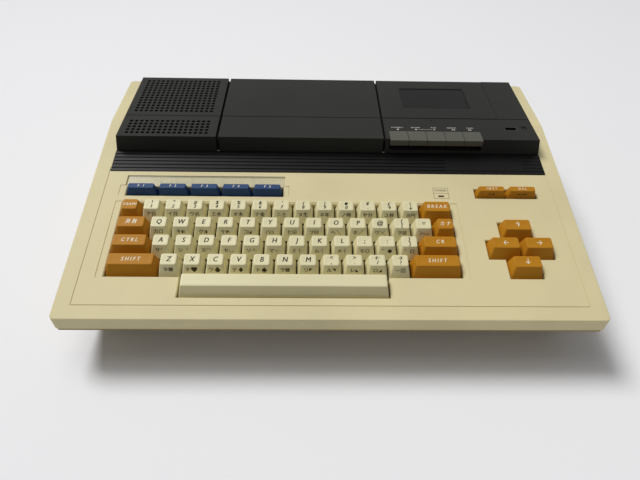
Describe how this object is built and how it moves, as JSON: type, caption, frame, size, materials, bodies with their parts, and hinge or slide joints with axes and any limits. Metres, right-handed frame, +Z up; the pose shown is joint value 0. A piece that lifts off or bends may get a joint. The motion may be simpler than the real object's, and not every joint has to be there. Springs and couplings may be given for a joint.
{
  "type": "home computer",
  "caption": "Wedge-shaped home computer with a sloping keyboard deck, ribbed black strip, vented black covers and a flat-loading cassette deck at the rear right.",
  "frame": {"origin": "middle of the footprint, at the level of the desk under the rubber feet", "axes": "+X to the right seen from the keyboard side, +Y from the front edge to the back, +Z up"},
  "size_m": [0.44, 0.305, 0.102],
  "materials": {
    "cabinet_beige": "light beige moulded plastic, fine texture",
    "base_beige": "light beige moulded plastic, fine texture",
    "cover_black": "black moulded plastic, fine texture",
    "strip_black": "black plastic, slightly polished",
    "key_cream": "cream key plastic with darker sides",
    "key_blue": "blue key plastic",
    "key_orange": "orange key plastic",
    "key_grey": "dark grey key plastic",
    "clear_window": "clear moulded plastic, polished",
    "lamp_red": "red translucent light pipe",
    "foot_rubber": "black rubber",
    "screw_steel": "plated steel",
    "frame_black": "black moulded plastic",
    "sheet_rubber": "grey silicone rubber",
    "board_green": "green printed board",
    "supply_metal": "plated steel supply case and coils",
    "speaker_metal": "dark painted steel",
    "socket_black": "black socket plastic and plated contacts",
    "chassis_steel": "plated sheet steel",
    "wheel_metal": "turned metal",
    "pulley_brass": "turned brass",
    "belt_rubber": "black rubber",
    "spindle_plastic": "white moulded plastic",
    "button_red": "dark grey plastic"
  },
  "bodies": {
    "case": {"upper_cabinet": "cabinet_beige", "lower_cabinet": "base_beige", "rubber_feet": "foot_rubber", "case_screws": "screw_steel", "trim_strip": "strip_black", "vent_cover": "cover_black", "bay_cover": "cover_black", "deck_housing": "cover_black", "key_label_window": "clear_window", "power_lamp": "lamp_red", "keyboard_frame": "frame_black", "contact_sheet": "sheet_rubber", "keyboard_board": "board_green", "main_board": "board_green", "power_supply": "supply_metal", "speaker": "speaker_metal", "rear_sockets": "socket_black", "deck_chassis": "chassis_steel", "deck_motor": "chassis_steel", "drive_belt": "belt_rubber"},
    "digit_row_keys": {"digit_row_keys": "key_cream"},
    "upper_letter_keys": {"upper_letter_keys": "key_cream"},
    "home_letter_keys": {"home_letter_keys": "key_cream"},
    "lower_letter_keys": {"lower_letter_keys": "key_cream"},
    "function_key_1": {"function_key_1": "key_blue"},
    "function_key_2": {"function_key_2": "key_blue"},
    "function_key_3": {"function_key_3": "key_blue"},
    "function_key_4": {"function_key_4": "key_blue"},
    "function_key_5": {"function_key_5": "key_blue"},
    "graph_key": {"graph_key": "key_orange"},
    "break_key": {"break_key": "key_orange"},
    "alpha_key": {"alpha_key": "key_orange"},
    "kana_key": {"kana_key": "key_orange"},
    "control_key": {"control_key": "key_orange"},
    "return_key": {"return_key": "key_orange"},
    "left_shift_key": {"left_shift_key": "key_orange"},
    "right_shift_key": {"right_shift_key": "key_orange"},
    "cursor_up_key": {"cursor_up_key": "key_orange"},
    "cursor_down_key": {"cursor_down_key": "key_orange"},
    "cursor_left_key": {"cursor_left_key": "key_orange"},
    "cursor_right_key": {"cursor_right_key": "key_orange"},
    "insert_key": {"insert_key": "key_orange"},
    "delete_key": {"delete_key": "key_orange"},
    "space_bar": {"space_bar": "key_cream"},
    "stop_eject_key": {"stop_eject_key": "key_grey"},
    "record_key": {"record_key": "key_grey"},
    "play_key": {"play_key": "key_grey"},
    "rewind_key": {"rewind_key": "key_grey"},
    "fast_forward_key": {"fast_forward_key": "key_grey"},
    "cassette_lid": {"cassette_door": "cover_black", "door_window": "clear_window"},
    "supply_spindle": {"supply_spindle": "spindle_plastic"},
    "takeup_spindle": {"takeup_spindle": "spindle_plastic"},
    "flywheel": {"flywheel": "wheel_metal"},
    "motor_pulley": {"motor_pulley": "pulley_brass"},
    "head_bridge": {"head_bridge": "wheel_metal"},
    "tape_counter": {"tape_counter": "frame_black"},
    "counter_reset_button": {"counter_reset_button": "button_red"},
    "power_rocker": {"power_rocker": "socket_black"},
    "reset_button": {"reset_button": "socket_black"}
  },
  "joints": [
    {"name": "digit_row_keys_press", "type": "slide", "parent": "case", "child": "digit_row_keys", "axis": [0, 0.1788, -0.9839], "range_m": [0, 0.0038], "stiffness_N_per_m": 1950, "springref_m": -0.002},
    {"name": "upper_letter_keys_press", "type": "slide", "parent": "case", "child": "upper_letter_keys", "axis": [0, 0.1788, -0.9839], "range_m": [0, 0.0038], "stiffness_N_per_m": 1950, "springref_m": -0.002},
    {"name": "home_letter_keys_press", "type": "slide", "parent": "case", "child": "home_letter_keys", "axis": [0, 0.1788, -0.9839], "range_m": [0, 0.0038], "stiffness_N_per_m": 1800, "springref_m": -0.002},
    {"name": "lower_letter_keys_press", "type": "slide", "parent": "case", "child": "lower_letter_keys", "axis": [0, 0.1788, -0.9839], "range_m": [0, 0.0038], "stiffness_N_per_m": 1650, "springref_m": -0.002},
    {"name": "function_key_1_press", "type": "slide", "parent": "case", "child": "function_key_1", "axis": [0, 0.1788, -0.9839], "range_m": [0, 0.0038], "stiffness_N_per_m": 150, "springref_m": -0.002},
    {"name": "function_key_2_press", "type": "slide", "parent": "case", "child": "function_key_2", "axis": [0, 0.1788, -0.9839], "range_m": [0, 0.0038], "stiffness_N_per_m": 150, "springref_m": -0.002},
    {"name": "function_key_3_press", "type": "slide", "parent": "case", "child": "function_key_3", "axis": [0, 0.1788, -0.9839], "range_m": [0, 0.0038], "stiffness_N_per_m": 150, "springref_m": -0.002},
    {"name": "function_key_4_press", "type": "slide", "parent": "case", "child": "function_key_4", "axis": [0, 0.1788, -0.9839], "range_m": [0, 0.0038], "stiffness_N_per_m": 150, "springref_m": -0.002},
    {"name": "function_key_5_press", "type": "slide", "parent": "case", "child": "function_key_5", "axis": [0, 0.1788, -0.9839], "range_m": [0, 0.0038], "stiffness_N_per_m": 150, "springref_m": -0.002},
    {"name": "graph_key_press", "type": "slide", "parent": "case", "child": "graph_key", "axis": [0, 0.1788, -0.9839], "range_m": [0, 0.0038], "stiffness_N_per_m": 150, "springref_m": -0.002},
    {"name": "break_key_press", "type": "slide", "parent": "case", "child": "break_key", "axis": [0, 0.1788, -0.9839], "range_m": [0, 0.0038], "stiffness_N_per_m": 150, "springref_m": -0.002},
    {"name": "alpha_key_press", "type": "slide", "parent": "case", "child": "alpha_key", "axis": [0, 0.1788, -0.9839], "range_m": [0, 0.0038], "stiffness_N_per_m": 150, "springref_m": -0.002},
    {"name": "kana_key_press", "type": "slide", "parent": "case", "child": "kana_key", "axis": [0, 0.1788, -0.9839], "range_m": [0, 0.0038], "stiffness_N_per_m": 150, "springref_m": -0.002},
    {"name": "control_key_press", "type": "slide", "parent": "case", "child": "control_key", "axis": [0, 0.1788, -0.9839], "range_m": [0, 0.0038], "stiffness_N_per_m": 150, "springref_m": -0.002},
    {"name": "return_key_press", "type": "slide", "parent": "case", "child": "return_key", "axis": [0, 0.1788, -0.9839], "range_m": [0, 0.0038], "stiffness_N_per_m": 150, "springref_m": -0.002},
    {"name": "left_shift_key_press", "type": "slide", "parent": "case", "child": "left_shift_key", "axis": [0, 0.1788, -0.9839], "range_m": [0, 0.0038], "stiffness_N_per_m": 150, "springref_m": -0.002},
    {"name": "right_shift_key_press", "type": "slide", "parent": "case", "child": "right_shift_key", "axis": [0, 0.1788, -0.9839], "range_m": [0, 0.0038], "stiffness_N_per_m": 150, "springref_m": -0.002},
    {"name": "cursor_up_key_press", "type": "slide", "parent": "case", "child": "cursor_up_key", "axis": [0, 0.1788, -0.9839], "range_m": [0, 0.0038], "stiffness_N_per_m": 150, "springref_m": -0.002},
    {"name": "cursor_down_key_press", "type": "slide", "parent": "case", "child": "cursor_down_key", "axis": [0, 0.1788, -0.9839], "range_m": [0, 0.0038], "stiffness_N_per_m": 150, "springref_m": -0.002},
    {"name": "cursor_left_key_press", "type": "slide", "parent": "case", "child": "cursor_left_key", "axis": [0, 0.1788, -0.9839], "range_m": [0, 0.0038], "stiffness_N_per_m": 150, "springref_m": -0.002},
    {"name": "cursor_right_key_press", "type": "slide", "parent": "case", "child": "cursor_right_key", "axis": [0, 0.1788, -0.9839], "range_m": [0, 0.0038], "stiffness_N_per_m": 150, "springref_m": -0.002},
    {"name": "insert_key_press", "type": "slide", "parent": "case", "child": "insert_key", "axis": [0, 0.1788, -0.9839], "range_m": [0, 0.0038], "stiffness_N_per_m": 150, "springref_m": -0.002},
    {"name": "delete_key_press", "type": "slide", "parent": "case", "child": "delete_key", "axis": [0, 0.1788, -0.9839], "range_m": [0, 0.0038], "stiffness_N_per_m": 150, "springref_m": -0.002},
    {"name": "space_bar_press", "type": "slide", "parent": "case", "child": "space_bar", "axis": [0, 0.1788, -0.9839], "range_m": [0, 0.0038], "stiffness_N_per_m": 300, "springref_m": -0.002},
    {"name": "stop_eject_key_press", "type": "hinge", "parent": "case", "child": "stop_eject_key", "pos_m": [0.1, 0.0535, 0.0945], "axis": [1, 0, 0], "range_deg": [0, 8], "stiffness_Nm_per_rad": 0.4, "springref_deg": -8.59},
    {"name": "record_key_press", "type": "hinge", "parent": "case", "child": "record_key", "pos_m": [0.1, 0.0535, 0.0945], "axis": [1, 0, 0], "range_deg": [0, 8], "stiffness_Nm_per_rad": 0.4, "springref_deg": -8.59},
    {"name": "play_key_press", "type": "hinge", "parent": "case", "child": "play_key", "pos_m": [0.1, 0.0535, 0.0945], "axis": [1, 0, 0], "range_deg": [0, 8], "stiffness_Nm_per_rad": 0.4, "springref_deg": -8.59},
    {"name": "rewind_key_press", "type": "hinge", "parent": "case", "child": "rewind_key", "pos_m": [0.1, 0.0535, 0.0945], "axis": [1, 0, 0], "range_deg": [0, 8], "stiffness_Nm_per_rad": 0.4, "springref_deg": -8.59},
    {"name": "fast_forward_key_press", "type": "hinge", "parent": "case", "child": "fast_forward_key", "pos_m": [0.1, 0.0535, 0.0945], "axis": [1, 0, 0], "range_deg": [0, 8], "stiffness_Nm_per_rad": 0.4, "springref_deg": -8.59},
    {"name": "door_hinge", "type": "hinge", "parent": "case", "child": "cassette_lid", "pos_m": [0.11255, 0.137, 0.0957], "axis": [-1, 0, 0], "range_deg": [0, 45]},
    {"name": "supply_spindle_spin", "type": "hinge", "parent": "case", "child": "supply_spindle", "pos_m": [0.09125, 0.1028, 0.08], "axis": [0, 0, 1], "continuous": true},
    {"name": "takeup_spindle_spin", "type": "hinge", "parent": "case", "child": "takeup_spindle", "pos_m": [0.13375, 0.1028, 0.08], "axis": [0, 0, 1], "continuous": true},
    {"name": "flywheel_spin", "type": "hinge", "parent": "case", "child": "flywheel", "pos_m": [0.1434, 0.077, 0.069], "axis": [0, 0, 1], "continuous": true},
    {"name": "motor_pulley_spin", "type": "hinge", "parent": "case", "child": "motor_pulley", "pos_m": [0.08, 0.077, 0.069], "axis": [0, 0, 1], "continuous": true},
    {"name": "head_bridge_slide", "type": "slide", "parent": "case", "child": "head_bridge", "axis": [0, 1, 0], "range_m": [0, 0.004]},
    {"name": "tape_counter_spin", "type": "hinge", "parent": "case", "child": "tape_counter", "pos_m": [0.1795, 0.0448, 0.094], "axis": [1, 0, 0], "continuous": true},
    {"name": "counter_reset_press", "type": "slide", "parent": "case", "child": "counter_reset_button", "axis": [0, 0, -1], "range_m": [0, 0.0015], "stiffness_N_per_m": 200, "springref_m": -0.001},
    {"name": "power_rocker_tilt", "type": "hinge", "parent": "case", "child": "power_rocker", "pos_m": [-0.143, 0.1415, 0.021], "axis": [1, 0, 0], "range_deg": [0, 16]},
    {"name": "reset_button_press", "type": "slide", "parent": "case", "child": "reset_button", "axis": [0, -1, 0], "range_m": [0, 0.0022], "stiffness_N_per_m": 200, "springref_m": -0.001}
  ],
  "couplings": [
    {"joint": "head_bridge_slide", "follows": "play_key_press", "m_per_rad": 0.0286},
    {"joint": "motor_pulley_spin", "follows": "flywheel_spin", "ratio": 6},
    {"joint": "tape_counter_spin", "follows": "takeup_spindle_spin", "ratio": 0.1}
  ]
}
